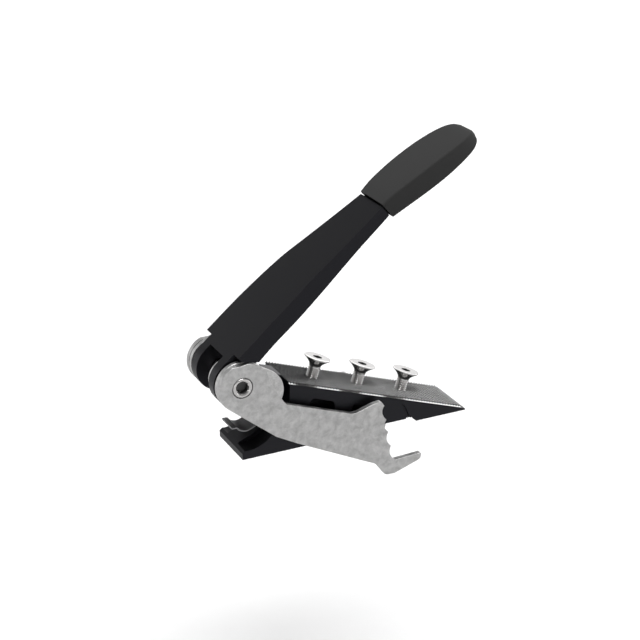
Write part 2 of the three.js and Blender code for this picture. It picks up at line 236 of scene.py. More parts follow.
def build_tumbled(name):
    """Mottled marks that tumbling leaves on sheet steel, with short fine scratches."""
    group, start, end = new_group(
        name, [("Patch scale", 320.0), ("Dent scale", 1500.0), ("Scratches", 0.5)],
        [("Tone", "NodeSocketFloat"), ("Height", "NodeSocketFloat")])
    place = add(group, "ShaderNodeTexCoord").outputs["Object"]
    warp = add(group, "ShaderNodeTexNoise", [("Vector", place), ("Scale", 220.0)])
    bent = add(group, "ShaderNodeVectorMath", [
        (0, warp.outputs["Color"]), (1, (0.004, 0.004, 0.004))], operation="MULTIPLY")
    moved = add(group, "ShaderNodeVectorMath", [(0, place), (1, bent.outputs[0])])
    patch = add(group, "ShaderNodeTexNoise", [
        ("Vector", moved.outputs[0]), ("Scale", start.outputs["Patch scale"]),
        ("Detail", 6.0), ("Roughness", 0.62)])
    dents = add(group, "ShaderNodeTexVoronoi", [
        ("Vector", place), ("Scale", start.outputs["Dent scale"])], feature="SMOOTH_F1")
    lines = []
    for turn in (0.4, 1.5, 2.5):
        aim = add(group, "ShaderNodeMapping", [
            ("Vector", moved.outputs[0]), ("Rotation", (0.0, turn, 0.0)),
            ("Scale", (350.0, 350.0, 6000.0))])
        streak = add(group, "ShaderNodeTexNoise", [("Vector", aim.outputs[0]), ("Scale", 1.0)])
        sharp = add(group, "ShaderNodeMapRange", [
            ("Value", streak.outputs["Fac"]), ("From Min", 0.6), ("From Max", 0.72)])
        lines.append(sharp.outputs[0])
    scratch = maths(group, "MAXIMUM", maths(group, "MAXIMUM", *lines[:2]), lines[2])
    scratch = maths(group, "MULTIPLY", scratch, start.outputs["Scratches"])
    tone = maths(group, "SUBTRACT", patch.outputs["Fac"], 0.5)
    tone = maths(group, "ADD", tone, maths(group, "MULTIPLY", scratch, 0.12))
    dip = maths(group, "MULTIPLY", dents.outputs["Distance"], 0.35)
    high = maths(group, "SUBTRACT", maths(group, "ADD", patch.outputs["Fac"], dip),
                 maths(group, "MULTIPLY", scratch, 0.3))
    group.links.new(tone, end.inputs["Tone"])
    group.links.new(high, end.inputs["Height"])
    return group


def build_turned(name):
    """Fine rings left by turning, from each point's stored distance to the turning axis."""
    group, start, end = new_group(
        name, [("Rings", 2600.0), ("Waver", 0.15)],
        [("Tone", "NodeSocketFloat"), ("Height", "NodeSocketFloat")])
    reach = add(group, "ShaderNodeAttribute", attribute_name="turned_radius").outputs["Fac"]
    place = add(group, "ShaderNodeTexCoord").outputs["Object"]
    smear = add(group, "ShaderNodeTexNoise", [("Vector", place), ("Scale", 500.0)])
    shift = maths(group, "MULTIPLY", smear.outputs["Fac"], start.outputs["Waver"])
    turnings = maths(group, "ADD", maths(group, "MULTIPLY", reach, start.outputs["Rings"]), shift)
    line = add(group, "ShaderNodeTexNoise", [("W", turnings), ("Scale", 1.0), ("Detail", 3.0)],
               noise_dimensions="1D")
    tone = maths(group, "SUBTRACT", line.outputs["Fac"], 0.5)
    tone = maths(group, "ADD", tone, maths(
        group, "MULTIPLY", maths(group, "SUBTRACT", smear.outputs["Fac"], 0.5), 0.5))
    group.links.new(tone, end.inputs["Tone"])
    group.links.new(line.outputs["Fac"], end.inputs["Height"])
    return group


# ---- materials ----
def shader(name):
    material = bpy.data.materials.new(name)
    material.use_nodes = True
    tree = material.node_tree
    return material, tree, tree.nodes["Principled BSDF"]


def effect(tree, group, **values):
    node = add(tree, "ShaderNodeGroup", node_tree=group)
    for key, value in values.items():
        node.inputs[key.replace("_", " ")].default_value = value
    return node.outputs


def shade(tree, colour, tone, strength):
    """Colour made lighter and darker by a signed tone."""
    factor = maths(tree, "ADD", maths(tree, "MULTIPLY", tone, strength), 1.0)
    scaled = add(tree, "ShaderNodeVectorMath", [(0, tuple(colour)), ("Scale", factor)],
                 operation="SCALE")
    return scaled.outputs[0]


def blend_colour(tree, mask, low, high):
    node = add(tree, "ShaderNodeMix", data_type="RGBA")
    tree.links.new(mask, node.inputs["Factor"])
    for key, value in ((MIX_A, low), (MIX_B, high)):
        if isinstance(value, bpy.types.NodeSocket):
            tree.links.new(value, node.inputs[key])
        else:
            node.inputs[key].default_value = (*value, 1.0)
    return node.outputs[MIX_OUT]


def relief(tree, surface, height, depth):
    bump = add(tree, "ShaderNodeBump", [("Height", height), ("Distance", depth)])
    bump.inputs["Strength"].default_value = 1.0
    tree.links.new(bump.outputs[0], surface.inputs["Normal"])


def uneven(tree, base, tone, amount):
    """A value, kept between 0 and 1, that a signed tone moves up and down."""
    return maths(tree, "ADD", maths(tree, "MULTIPLY", tone, amount), base, clamp=True)


def anodised(name, colour, worn, roughness, specular):
    """Satin black anodising with slightly rubbed edges."""
    material, tree, surface = shader(name)
    grain = effect(tree, group_of("Fine grain", build_grain), Scale=4200.0)
    wear = effect(tree, group_of("Edge wear", build_edge_wear), Start=0.53, Full=0.66,
                  Breakup=0.8)["Mask"]
    base = shade(tree, colour, grain["Clouds"], 0.7)
    tone = blend_colour(tree, maths(tree, "MULTIPLY", wear, worn), base, RUBBED_ANODISING)
    tree.links.new(tone, surface.inputs["Base Color"])
    rough = uneven(tree, roughness, grain["Value"], 0.22)
    rough = uneven(tree, rough, grain["Clouds"], 0.12)
    tree.links.new(rough, surface.inputs["Roughness"])
    surface.inputs["Specular IOR Level"].default_value = specular
    relief(tree, surface, grain["Height"], 0.012 * MM)
    return material


def serrated(name):
    """Machined points: rubbed and paler on their edges, with painted shade darkening the valleys."""
    material, tree, surface = shader(name)
    grain = effect(tree, group_of("Fine grain", build_grain), Scale=5200.0)
    wear = effect(tree, group_of("Edge wear", build_edge_wear), Start=0.5, Full=0.62,
                  Breakup=0.35)["Mask"]
    height = add(tree, "ShaderNodeAttribute", attribute_name="point_height").outputs["Fac"]
    base = shade(tree, colours().serration, grain["Clouds"], 0.8)
    # painted shade: the base colour fades to near black down the valleys, by point height
    valley_painted_shade = blend_colour(tree, height, VALLEY_PAINTED_SHADE, base)
    tone = blend_colour(tree, maths(tree, "MULTIPLY", wear, 0.5), valley_painted_shade, RUBBED_POINTS)
    tree.links.new(tone, surface.inputs["Base Color"])
    tree.links.new(uneven(tree, 0.26, grain["Value"], 0.2), surface.inputs["Roughness"])
    surface.inputs["Metallic"].default_value = 0.85
    relief(tree, surface, grain["Height"], 0.012 * MM)
    return material


def cut_edge(name):
    """Bright cut metal of the smooth lands along the block's long edges."""
    material, tree, surface = shader(name)
    grain = effect(tree, group_of("Fine grain", build_grain), Scale=3200.0)
    base = shade(tree, CUT_TONE, grain["Clouds"], 0.3)
    tree.links.new(base, surface.inputs["Base Color"])
    tree.links.new(uneven(tree, 0.16, grain["Value"], 0.12), surface.inputs["Roughness"])
    surface.inputs["Metallic"].default_value = 1.0
    relief(tree, surface, grain["Height"], 0.006 * MM)
    return material


def rubber(name):
    """Soft moulded rubber with a fine matt texture."""
    material, tree, surface = shader(name)
    grain = effect(tree, group_of("Fine grain", build_grain), Scale=3600.0, Detail=5.0)
    wear = effect(tree, group_of("Edge wear", build_edge_wear), Start=0.5, Full=0.6,
                  Breakup=0.6)["Mask"]
    base = shade(tree, colours().grip, grain["Clouds"], 0.9)
    tone = blend_colour(tree, maths(tree, "MULTIPLY", wear, 0.25), base, RUBBED_RUBBER)
    tree.links.new(tone, surface.inputs["Base Color"])
    rough = uneven(tree, 0.62, grain["Value"], 0.3)
    tree.links.new(uneven(tree, rough, grain["Clouds"], 0.2), surface.inputs["Roughness"])
    surface.inputs["Specular IOR Level"].default_value = 0.32
    relief(tree, surface, grain["Height"], 0.05 * MM)
    return material


def tumbled(name, colour, roughness, patch=320.0):
    """Tumbled stainless sheet, paler where its edges are rubbed."""
    material, tree, surface = shader(name)
    marks = effect(tree, group_of("Tumbled marks", build_tumbled), Patch_scale=patch)
    wear = effect(tree, group_of("Edge wear", build_edge_wear), Start=0.53, Full=0.64,
                  Breakup=0.5)["Mask"]
    base = shade(tree, colour, marks["Tone"], 1.1)
    pale = tuple(min(1.0, c * 1.35) for c in colour)
    tone = blend_colour(tree, maths(tree, "MULTIPLY", wear, 0.6), base, pale)
    tree.links.new(tone, surface.inputs["Base Color"])
    tree.links.new(uneven(tree, roughness, marks["Tone"], 0.5), surface.inputs["Roughness"])
    surface.inputs["Metallic"].default_value = 1.0
    relief(tree, surface, marks["Height"], 0.02 * MM)
    return material


def turned_steel(name, colour, roughness):
    """Bright turned steel with fine rings."""
    material, tree, surface = shader(name)
    rings = effect(tree, group_of("Turned rings", build_turned))
    wear = effect(tree, group_of("Edge wear", build_edge_wear), Start=0.54, Full=0.7,
                  Breakup=0.5)["Mask"]
    base = shade(tree, colour, rings["Tone"], 0.25)
    pale = tuple(min(1.0, c * 1.2) for c in colour)
    tone = blend_colour(tree, maths(tree, "MULTIPLY", wear, 0.6), base, pale)
    tree.links.new(tone, surface.inputs["Base Color"])
    tree.links.new(uneven(tree, roughness, rings["Tone"], 0.25), surface.inputs["Roughness"])
    surface.inputs["Metallic"].default_value = 1.0
    relief(tree, surface, rings["Height"], 0.004 * MM)
    return material


def sheet_metal(name, colour, roughness, metallic=1.0):
    """Rolled spring sheet, bronze bush, plastic washer and the painted shade in sockets: fine grain and soft
    clouds.
    """
    material, tree, surface = shader(name)
    grain = effect(tree, group_of("Fine grain", build_grain), Scale=2800.0)
    wear = effect(tree, group_of("Edge wear", build_edge_wear), Start=0.52, Full=0.62,
                  Breakup=0.5)["Mask"]
    base = shade(tree, colour, grain["Clouds"], 0.6)
    pale = tuple(min(1.0, c * 1.9) for c in colour)
    tone = blend_colour(tree, maths(tree, "MULTIPLY", wear, 0.7), base, pale)
    tree.links.new(tone, surface.inputs["Base Color"])
    tree.links.new(uneven(tree, roughness, grain["Value"], 0.25), surface.inputs["Roughness"])
    surface.inputs["Metallic"].default_value = metallic
    relief(tree, surface, grain["Height"], 0.01 * MM)
    return material


def painted_floor(name):
    """Pale matt floor with the faintest unevenness."""
    material, tree, surface = shader(name)
    grain = effect(tree, group_of("Fine grain", build_grain), Scale=60.0)
    seen = add(tree, "ShaderNodeLightPath").outputs["Is Camera Ray"]
    base = shade(tree, FLOOR_SEEN, grain["Clouds"], 0.02)
    cast = shade(tree, FLOOR_CAST, grain["Clouds"], 0.02)
    tree.links.new(blend_colour(tree, seen, cast, base), surface.inputs["Base Color"])
    surface.inputs["Roughness"].default_value = 0.9
    surface.inputs["Specular IOR Level"].default_value = 0.1
    return material


FINISHES = {
    "anodised_block": lambda name: anodised(
        name, colours().block, worn=0.5, roughness=0.4, specular=0.3),
    "anodised_lever": lambda name: anodised(
        name, colours().lever, worn=0.25, roughness=0.42, specular=0.25),
    "serrated_points": serrated,
    "cut_edge": cut_edge,
    "grip_rubber": rubber,
    "plate_steel": lambda name: tumbled(name, colours().plate, roughness=0.42),
    "disc_steel": lambda name: tumbled(name, colours().disc, roughness=0.36, patch=420.0),
    "bright_steel": lambda name: turned_steel(name, colours().bright, roughness=0.22),
    # painted shade: a dark dull steel for the inside of the head sockets
    "socket_painted_shade": lambda name: sheet_metal(name, SOCKET_PAINTED_SHADE, roughness=0.45),
    "spring_steel": lambda name: sheet_metal(name, colours().spring, roughness=0.36),
    "washer_plastic": lambda name: sheet_metal(
        name, colours().washer, roughness=0.55, metallic=0.0),
    "bush_bronze": lambda name: sheet_metal(name, colours().bronze, roughness=0.4),
    "pale_floor": painted_floor,
}


def finish(name):
    return bpy.data.materials.get(name) or FINISHES[name](name)


# ---- mesh helpers ----
def on_face(along, across, above):
    """Point in the frame from metres along, across and above the serrated face."""
    return FACE_ALONG * along + ACROSS * across + FACE_UP * above


def on_lever(along, across, over):
    """Point in the frame from millimetres along, across and over the lever."""
    return BOLT + (ALONG_LEVER * along + ACROSS * across + OVER_LEVER * over) * MM


def span(node, direction, near_plane=None):
    """Least and greatest reach of a node along a direction, or of its part on a plane."""
    found = [v.co for v in frame["nodes"][node].data.vertices]
    if near_plane is not None:
        found = [p for p in found if abs(p.dot(near_plane)) < 0.02 * MM]
    reach = [p.dot(direction) for p in found]
    return min(reach), max(reach)


def piece(name, mesh, body, materials, nodes):
    """Object that rides a body, stands for CAD nodes and takes its finish from a slot."""
    if not mesh.polygons:
        raise RuntimeError(f"{name} came out with no faces")
    thing = bpy.data.objects.new(name, mesh)
    bpy.context.scene.collection.objects.link(thing)
    for label in materials:
        mesh.materials.append(finish(label))
    mesh.shade_smooth()
    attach(thing, body)
    if nodes:
        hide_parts(*nodes)
    return thing


def soften(thing, width, segments=3):
    """Rounded edges with normals that keep the flats flat."""
    bevel = thing.modifiers.new("Rounded edges", "BEVEL")
    bevel.width = width
    bevel.segments = segments
    bevel.limit_method = "ANGLE"
    bevel.angle_limit = BEVEL_ANGLE
    bevel.use_clamp_overlap = True
    bevel.miter_outer = "MITER_ARC"
    weigh = thing.modifiers.new("Flat flats", "WEIGHTED_NORMAL")
    weigh.mode = "FACE_AREA"
    weigh.weight = FLAT_WEIGHT


def outline_of(node):
    """Clean copy of a CAD node's mesh: shared points joined and flat faces made whole."""
    build = bmesh.new()
    build.from_mesh(frame["nodes"][node].data)
    bmesh.ops.remove_doubles(build, verts=build.verts, dist=MERGE)
    bmesh.ops.dissolve_limit(
        build, angle_limit=FLAT_TURN, verts=build.verts, edges=build.edges)
    bmesh.ops.dissolve_degenerate(build, edges=build.edges, dist=MERGE)
    return build


def to_mesh(build, name):
    mesh = bpy.data.meshes.new(name)
    bmesh.ops.recalc_face_normals(build, faces=build.faces)
    build.to_mesh(mesh)
    build.free()
    return mesh


def finished_copy(name, node, body, material, edge, segments=3):
    """A CAD node's own shape with rounded edges and its real finish."""
    thing = piece(name, to_mesh(outline_of(node), name), body, [material], [node])
    soften(thing, edge, segments)
    return thing


def skin(name, rings, centre_first, centre_last):
    """Closed mesh through rings of equal count, closed by a fan at each end."""
    build = bmesh.new()
    loops = [[build.verts.new(p) for p in ring] for ring in rings]
    count = len(rings[0])
    for low, high in zip(loops, loops[1:]):
        for i in range(count):
            j = (i + 1) % count
            build.faces.new((low[i], low[j], high[j], high[i]))
    for loop, centre, flip in ((loops[0], centre_first, True), (loops[-1], centre_last, False)):
        hub = build.verts.new(centre)
        for i in range(count):
            j = (i + 1) % count
            build.faces.new((hub, loop[j], loop[i]) if flip else (hub, loop[i], loop[j]))
    return to_mesh(build, name)


def hex_radius(angle, flats):
    """Distance from the centre to a hexagon's side in a direction."""
    return flats / 2 / math.cos((angle % (math.pi / 3)) - math.pi / 6)


def turned_rings(axis, side, top, profile, seat):
    """Rings about an axis: profile rows are (radius, height) or (hex flats, height, 'hex')."""
    other = axis.cross(side)
    rings = []
    for row in profile:
        ring = []
        for i in range(ROUND):
            angle = 2 * math.pi * i / ROUND
            reach = hex_radius(angle, row[0]) if len(row) > 2 else row[0]
            ring.append(seat + axis * (top + row[1]) * MM
                        + (side * math.cos(angle) + other * math.sin(angle)) * reach * MM)
        rings.append(ring)
    return rings


def mark_radius(mesh, seat, axis):
    """Stores each point's distance from the turning axis."""
    reach = mesh.attributes.new("turned_radius", "FLOAT", "POINT")
    for vertex, value in zip(mesh.vertices, reach.data):
        offset = vertex.co - seat
        value.value = (offset - axis * offset.dot(axis)).length


def paint_socket_shade(mesh, seat, axis, below, inside):
    """Gives the walls and floor of a head's socket the second material, a dull dark steel that paints shade into
    the socket.
    """
    for face in mesh.polygons:
        offset = face.center - seat
        height = offset.dot(axis)
        reach = (offset - axis * height).length
        if below - SOCKET_REACH < height / MM < below and reach < inside * MM:
            face.material_index = 1


def sharpen(mesh, degrees):
    """Marks the edges that turn by more than an angle as sharp."""
    build = bmesh.new()
    build.from_mesh(mesh)
    for edge in build.edges:
        if len(edge.link_faces) == 2:
            edge.smooth = edge.calc_face_angle(0.0) < math.radians(degrees)
    build.to_mesh(mesh)
    build.free()


# ---- pieces ----
def face_limits():
    """Ends and half width of the serrated face, measured on the frame."""
    start, end = span("wedge_block", FACE_ALONG, FACE_UP)
    return start, end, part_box("wedge_block")[1].y


def screw_spots():
    """Distance of each mounting screw along the serrated face from the origin."""
    return [sum(span(f"mounting_screw_{i}", FACE_ALONG)) / 2 for i in (1, 2, 3)]


class CLAMP_OT_block(bpy.types.Operator):
    """Makes the wedge block and its serrated top."""
    bl_idname = "clamp.block"
    bl_label = "Wedge block"

    SEAT = 1.4 * MM             # how far the serrated top reaches down into the block
    SINK = 0.03 * MM            # and how far it goes past its seat
    HOLE = 3.25 * MM            # radius of the hole around each screw
    STEPS = 4                   # grid steps to one pitch
    LAST_ROW = 8                # rows of points on each side of the centre line
    LAND_FALL = 0.17            # fall of the smooth land for each unit of its width
    BACK_ROOM, END_ROOM, UP_ROOM, SIDE_ROOM = 0.02 * MM, 4 * MM, 6 * MM, 1.3
    CUTTER_SIDES = ((0, 1, 3, 2), (4, 6, 7, 5), (0, 4, 5, 1), (2, 3, 7, 6), (0, 2, 6, 4),
                    (1, 5, 7, 3))

    def execute(self, context):
        self.body()
        self.top()
        return {"FINISHED"}

    def body(self):
        """Block cut away down to the seat of the serrated top."""
        start, end, half = face_limits()
        mesh = to_mesh(outline_of("wedge_block"), "wedge_block_body")
        thing = piece("wedge_block_body", mesh, "block", ["anodised_block"],
                      ["wedge_block"])
        box = bmesh.new()
        corners = [box.verts.new(on_face(a, c, u))
                   for a in (start - self.BACK_ROOM, end + self.END_ROOM)
                   for c in (-half * self.SIDE_ROOM, half * self.SIDE_ROOM)
                   for u in (-self.SEAT, self.UP_ROOM)]
        for side in self.CUTTER_SIDES:
            box.faces.new([corners[k] for k in side])
        cutter = to_mesh(box, "seat_cutter")
        tool = bpy.data.objects.new("seat_cutter", cutter)
        bpy.context.scene.collection.objects.link(tool)
        trim = thing.modifiers.new("Seat", "BOOLEAN")
        trim.operation = "DIFFERENCE"
        trim.object = tool
        trim.solver = "EXACT"
        graph = bpy.context.evaluated_depsgraph_get()
        trimmed = bpy.data.meshes.new_from_object(thing.evaluated_get(graph))
        if not trimmed.polygons:
            raise RuntimeError("the seat of the serrated top could not be cut")
        thing.modifiers.clear()
        old = thing.data
        thing.data = trimmed
        bpy.data.meshes.remove(old)
        bpy.data.objects.remove(tool)
        bpy.data.meshes.remove(cutter)
        trimmed.name = "wedge_block_body"
        trimmed.shade_smooth()
        soften(thing, sizes().block_edge, FINE)

    def point_height(self, along, across):
        """Height of the diamond points, from 0 in the valleys to 1 on the points."""
        pitch = sizes().serration_pitch
        a = (along + across) / pitch
        b = (along - across) / pitch
        away = max(abs(a - round(a)), abs(b - round(b)))
        beyond = abs(round(a) - round(b)) > 2 * self.LAST_ROW
        return 0.0 if beyond else 1 - 2 * away

    def top(self):
        """Grid of diamond points between two smooth lands, open around the screws."""
        start, end, half = face_limits()
        pitch, depth = sizes().serration_pitch, sizes().serration_depth
        step = pitch / self.STEPS
        rows = math.ceil((end - start) / step)
        spots = screw_spots()
        alongs = [start + (end - start) * i / rows for i in range(rows + 1)]
        outer = self.STEPS * self.LAST_ROW + 2
        land_from = step * (outer - 2)
        inner = [step * j for j in range(-outer, outer + 1)]
        land = [(step * outer + half) / 2, half]
        acrosses = [-a for a in reversed(land)] + inner + land
        columns = len(acrosses) - 1
        build = bmesh.new()
        tall = build.verts.layers.float.new("point_height")
        grid = []
        for i, along in enumerate(alongs):
            line = []
            for j, across in enumerate(acrosses):
                peak = self.point_height(i * step, across)
                above = (peak - 1) * depth
                if abs(across) > land_from and peak <= 0:
                    above = -depth - (abs(across) - land_from) * self.LAND_FALL
                    peak = 0.0
                vertex = build.verts.new(on_face(along, across, above))
                vertex[tall] = peak
                line.append(vertex)
            grid.append(line)
        gone = set()
        for i in range(rows):
            for j in range(columns):
                mid_along = (alongs[i] + alongs[i + 1]) / 2
                mid_across = (acrosses[j] + acrosses[j + 1]) / 2
                if any(math.hypot(mid_along - s, mid_across) < self.HOLE for s in spots):
                    gone.add((i, j))
        for i in range(rows):
            for j in range(columns):
                if (i, j) in gone:
                    continue
                a, b, c, d = grid[i][j], grid[i + 1][j], grid[i + 1][j + 1], grid[i][j + 1]
                if abs(a[tall] - c[tall]) <= abs(b[tall] - d[tall]):
                    made = [build.faces.new(t) for t in ((a, b, c), (a, c, d))]
                else:
                    made = [build.faces.new(t) for t in ((a, b, d), (b, c, d))]
                side = abs((acrosses[j] + acrosses[j + 1]) / 2)
                for face in made:
                    flat = all(v[tall] <= 0 for v in face.verts) and side > land_from
                    face.material_index = 1 if flat else 0
        for vertex in [v for v in build.verts if not v.link_faces]:
            build.verts.remove(vertex)
        for vertex in [v for v in build.verts if v.is_boundary]:
            along, across = vertex.co.dot(FACE_ALONG), vertex.co.y
            for spot in spots:
                reach = math.hypot(along - spot, across)
                if reach < self.HOLE + 2 * step:
                    grow = self.HOLE / reach
                    flat = on_face(spot + (along - spot) * grow, across * grow, 0)
                    vertex.co = flat + FACE_UP * vertex.co.dot(FACE_UP)
        rim = [e for e in build.edges if e.is_boundary]
        walls = bmesh.ops.extrude_edge_only(build, edges=rim)["geom"]
        low = [g for g in walls if isinstance(g, bmesh.types.BMVert)]
        for vertex in low:
            vertex.co -= FACE_UP * (vertex.co.dot(FACE_UP) + self.SEAT + self.SINK)
        for face in [g for g in walls if isinstance(g, bmesh.types.BMFace)]:
            face.material_index = 2
        bottom = bmesh.ops.triangle_fill(
            build, edges=[e for e in build.edges if e.is_boundary], use_beauty=False)
        for face in [g for g in bottom["geom"] if isinstance(g, bmesh.types.BMFace)]:
            face.material_index = 2
        mesh = to_mesh(build, "serrated_top")
        piece("serrated_top", mesh, "block",
              ["serrated_points", "cut_edge", "anodised_block"], [])
        mesh.shade_flat()


class CLAMP_OT_screws(bpy.types.Operator):
    """Makes the three countersunk mounting screws with their threads."""
    bl_idname = "clamp.screws"
    bl_label = "Mounting screws"

    HEAD = [(3.7, -2.5, "hex"), (4.0, -2.35, "hex"), (4.0, -0.12, "hex"), (4.2, 0.0, "hex"),
            (3.2, 0.0), (5.9, 0.0), (6.2, -0.03), (6.38, -0.12), (6.45, -0.28), (6.42, -0.46),
            (6.25, -0.62), (5.3, -1.35), (4.5, -2.0), (3.8, -2.65), (3.3, -3.25),
            (3.0, -3.8), (2.85, -4.3)]
    SOCKET_FLOOR = -2.9
    SOCKET_TOP, SOCKET_WIDE = -0.1, 2.6
    SHARP = 30.0
    THREAD_TOP = -4.5
    TIP = -20.0
    TIP_ROWS = [(2.5, TIP + 0.15), (2.2, TIP)]
    PLAIN_TIP = 0.8             # length left without a thread at the tip
    ROWS_PER_TURN = 8
    RUN_OUT = 4                 # rows over which the thread has not quite faded at the tip
    THREAD_R = 3.0 - 0.06
    GROOVE = 2.5                # steepness of the thread's flanks
    TWIST = 0.37                # turn between one screw's thread and the next

    def execute(self, context):
        pitch = sizes().thread_pitch / MM
        depth = sizes().thread_depth / MM
        for number, along in enumerate(screw_spots(), 1):
            node = f"mounting_screw_{number}"
            top = span(node, FACE_UP)[1] / MM
            seat = FACE_ALONG * along
            side = FACE_ALONG.copy()
            rings = turned_rings(FACE_UP, side, top, self.HEAD, seat)
            count = int((self.THREAD_TOP - self.TIP - self.PLAIN_TIP) / pitch * self.ROWS_PER_TURN)
            other = FACE_UP.cross(side)
            for row in range(count + 1):
                height = self.THREAD_TOP - row * pitch / self.ROWS_PER_TURN
                ramp = min(1.0, row / self.ROWS_PER_TURN,
                           (count - row + self.RUN_OUT) / self.ROWS_PER_TURN)
                ring = []
                for i in range(ROUND):
                    phase = (height / pitch + i / ROUND + number * self.TWIST) % 1.0
                    groove = max(0.0, 1 - abs(phase - 0.5) * self.GROOVE)
                    reach = self.THREAD_R - depth * ramp * groove
                    angle = 2 * math.pi * i / ROUND
                    ring.append(seat + FACE_UP * (top + height) * MM
                                + (side * math.cos(angle) + other * math.sin(angle)) * reach * MM)
                rings.append(ring)
            rings += turned_rings(FACE_UP, side, top, self.TIP_ROWS, seat)
            mesh = skin(node + "_turned", rings, seat + FACE_UP * (top + self.SOCKET_FLOOR) * MM,
                        seat + FACE_UP * (top + self.TIP) * MM)
            mark_radius(mesh, seat, FACE_UP)
            piece(node + "_turned", mesh, "block", ["bright_steel", "socket_painted_shade"],
                  [node])
            # paints shade into the socket by giving its walls and floor the dark second material
            paint_socket_shade(mesh, seat, FACE_UP, top + self.SOCKET_TOP, self.SOCKET_WIDE)
            sharpen(mesh, self.SHARP)
        return {"FINISHED"}


class CLAMP_OT_leaf(bpy.types.Operator):
    """Makes the curved leaf in the recess, its screw and the hidden bush."""
    bl_idname = "clamp.leaf"
    bl_label = "Leaf and bush"

    ROWS = (("leaf_spring", "sheet", "spring_steel", 0.12 * MM),
            ("leaf_screw", "turned", "bright_steel", 0.12 * MM),
            ("axle_bush", "turned", "bush_bronze", 0.15 * MM))

    def execute(self, context):
        for node, ending, material, edge in self.ROWS:
            finished_copy(f"{node}_{ending}", node, "block", material, edge, FINE)
        return {"FINISHED"}


class CLAMP_OT_lever(bpy.types.Operator):
    """Makes the forked lever arm."""
    bl_idname = "clamp.lever"
    bl_label = "Lever arm"

    def execute(self, context):
        finished_copy("lever_arm_milled", "lever_arm", "lever", "anodised_lever",
                      sizes().lever_edge)
        return {"FINISHED"}


class CLAMP_OT_grip(bpy.types.Operator):
    """Makes the moulded rubber grip over the lever's tang."""
    bl_idname = "clamp.grip"
    bl_label = "Rubber grip"

    WIDTH = [(104.8, 11.4), (112, 12.4), (124, 13.5), (135, 13.7), (145, 13.2), (154, 11.5),
             (158.5, 8.9), (160.3, 5.6)]
    TOP = [(104.8, 7.8), (112, 7.7), (124, 6.2), (135, 4.3), (145, 2.1), (154, -0.35),
           (158.5, -2.15), (160.3, -3.7)]
    BOTTOM = [(104.8, -1.6), (112, -2.6), (124, -4.6), (135, -6.4), (145, -7.6), (154, -8.4),
              (158.5, -7.8), (160.3, -6.25)]
    STATIONS = 72
    CORNER_POINTS = 9
    TIP_CROWDING = 1.5                          # draws the stations together at the tip
    MOUTH = ((2, 0.8), (0, 0.9), (0, 0.97))     # (distance in, share of the full section)
    MOUTH_STEP = 4
    MOUTH_HUB, TIP_HUB = (2.5, 3), (0.25, -5.2)
    CORNER = 0.9
    FULL_WIDTH, FULL_HEIGHT = 6, 7              # narrower or lower than this, corners shrink
    SIDE_TILT = 0.1
    DOME, LOW_DOME = 0.35, -0.5
    DOME_END, DOME_FADE = 150, 20
    SHARP = 60.0

    def execute(self, context):
        rings = []
        start, end = self.WIDTH[0][0], self.WIDTH[-1][0]
        for k in range(self.STATIONS + 1):
            share = k / self.STATIONS
            along = start + (end - start) * (1 - (1 - share) ** self.TIP_CROWDING)
            rings.append(self.section(along, 1.0))
        rings = [self.section(start + inward, share) for inward, share in self.MOUTH] + rings
        mesh = skin("lever_grip_moulded", rings,
                    on_lever(start + self.MOUTH_HUB[0], 0, self.MOUTH_HUB[1]),
                    on_lever(end + self.TIP_HUB[0], 0, self.TIP_HUB[1]))
        piece("lever_grip_moulded", mesh, "lever", ["grip_rubber"],
              ["lever_grip"])
        sharpen(mesh, self.SHARP)
        return {"FINISHED"}

    def section(self, along, shrink):
        """Section with a slightly domed top, rounded corners and sides that lean a little."""
        wide = curve_at(self.WIDTH, along) * shrink
        top = curve_at(self.TOP, along) - (1 - shrink) * self.MOUTH_STEP
        low = curve_at(self.BOTTOM, along) + (1 - shrink) * self.MOUTH_STEP
        tight = min(1.0, wide / self.FULL_WIDTH, (top - low) / self.FULL_HEIGHT)
        swell = self.DOME * min(1.0, max(0.0, (self.DOME_END - along) / self.DOME_FADE))
        radius = self.CORNER * tight
        ring = []
        for side, level, first in ((1, top, 0), (-1, top, 90), (-1, low, 180), (1, low, 270)):
            upper = level == top
            reach = wide - (0 if upper else self.SIDE_TILT * tight) - radius
            height = level - radius if upper else level + radius
            for k in range(self.CORNER_POINTS):
                angle = math.radians(first + 90 * k / (self.CORNER_POINTS - 1))
                ring.append((side * reach + radius * math.cos(angle),
                             height + radius * math.sin(angle)))
            if first in (0, 180):
                for share in (0.25, 0.5, 0.75):
                    across = side * reach * (1 - 2 * share)
                    dome = swell * (1 - (across / reach) ** 2) * (1 if upper else self.LOW_DOME)
                    ring.append((across, level + dome))
            else:
                other = low + radius if upper else top - radius
                for share in (0.33, 0.67):
                    lean = self.SIDE_TILT * tight * (share if upper else 1 - share)
                    ring.append((side * (wide - lean), height + (other - height) * share))
        return [on_lever(along, across, over) for across, over in ring]


def curve_at(points, at):
    """Smooth value through (place, value) points."""
    last = len(points) - 1
    for k in range(last):
        if at <= points[k + 1][0] or k == last - 1:
            break
    x0, y0 = points[k]
    x1, y1 = points[k + 1]

    def slope(m):
        a, b = points[max(m - 1, 0)], points[min(m + 1, last)]
        return (b[1] - a[1]) / (b[0] - a[0])

    gap = x1 - x0
    t = min(1.0, max(0.0, (at - x0) / gap))
    square, cube = t * t, t ** 3
    return ((2 * cube - 3 * square + 1) * y0 + (cube - 2 * square + t) * gap * slope(k)
            + (3 * square - 2 * cube) * y1 + (cube - square) * gap * slope(k + 1))


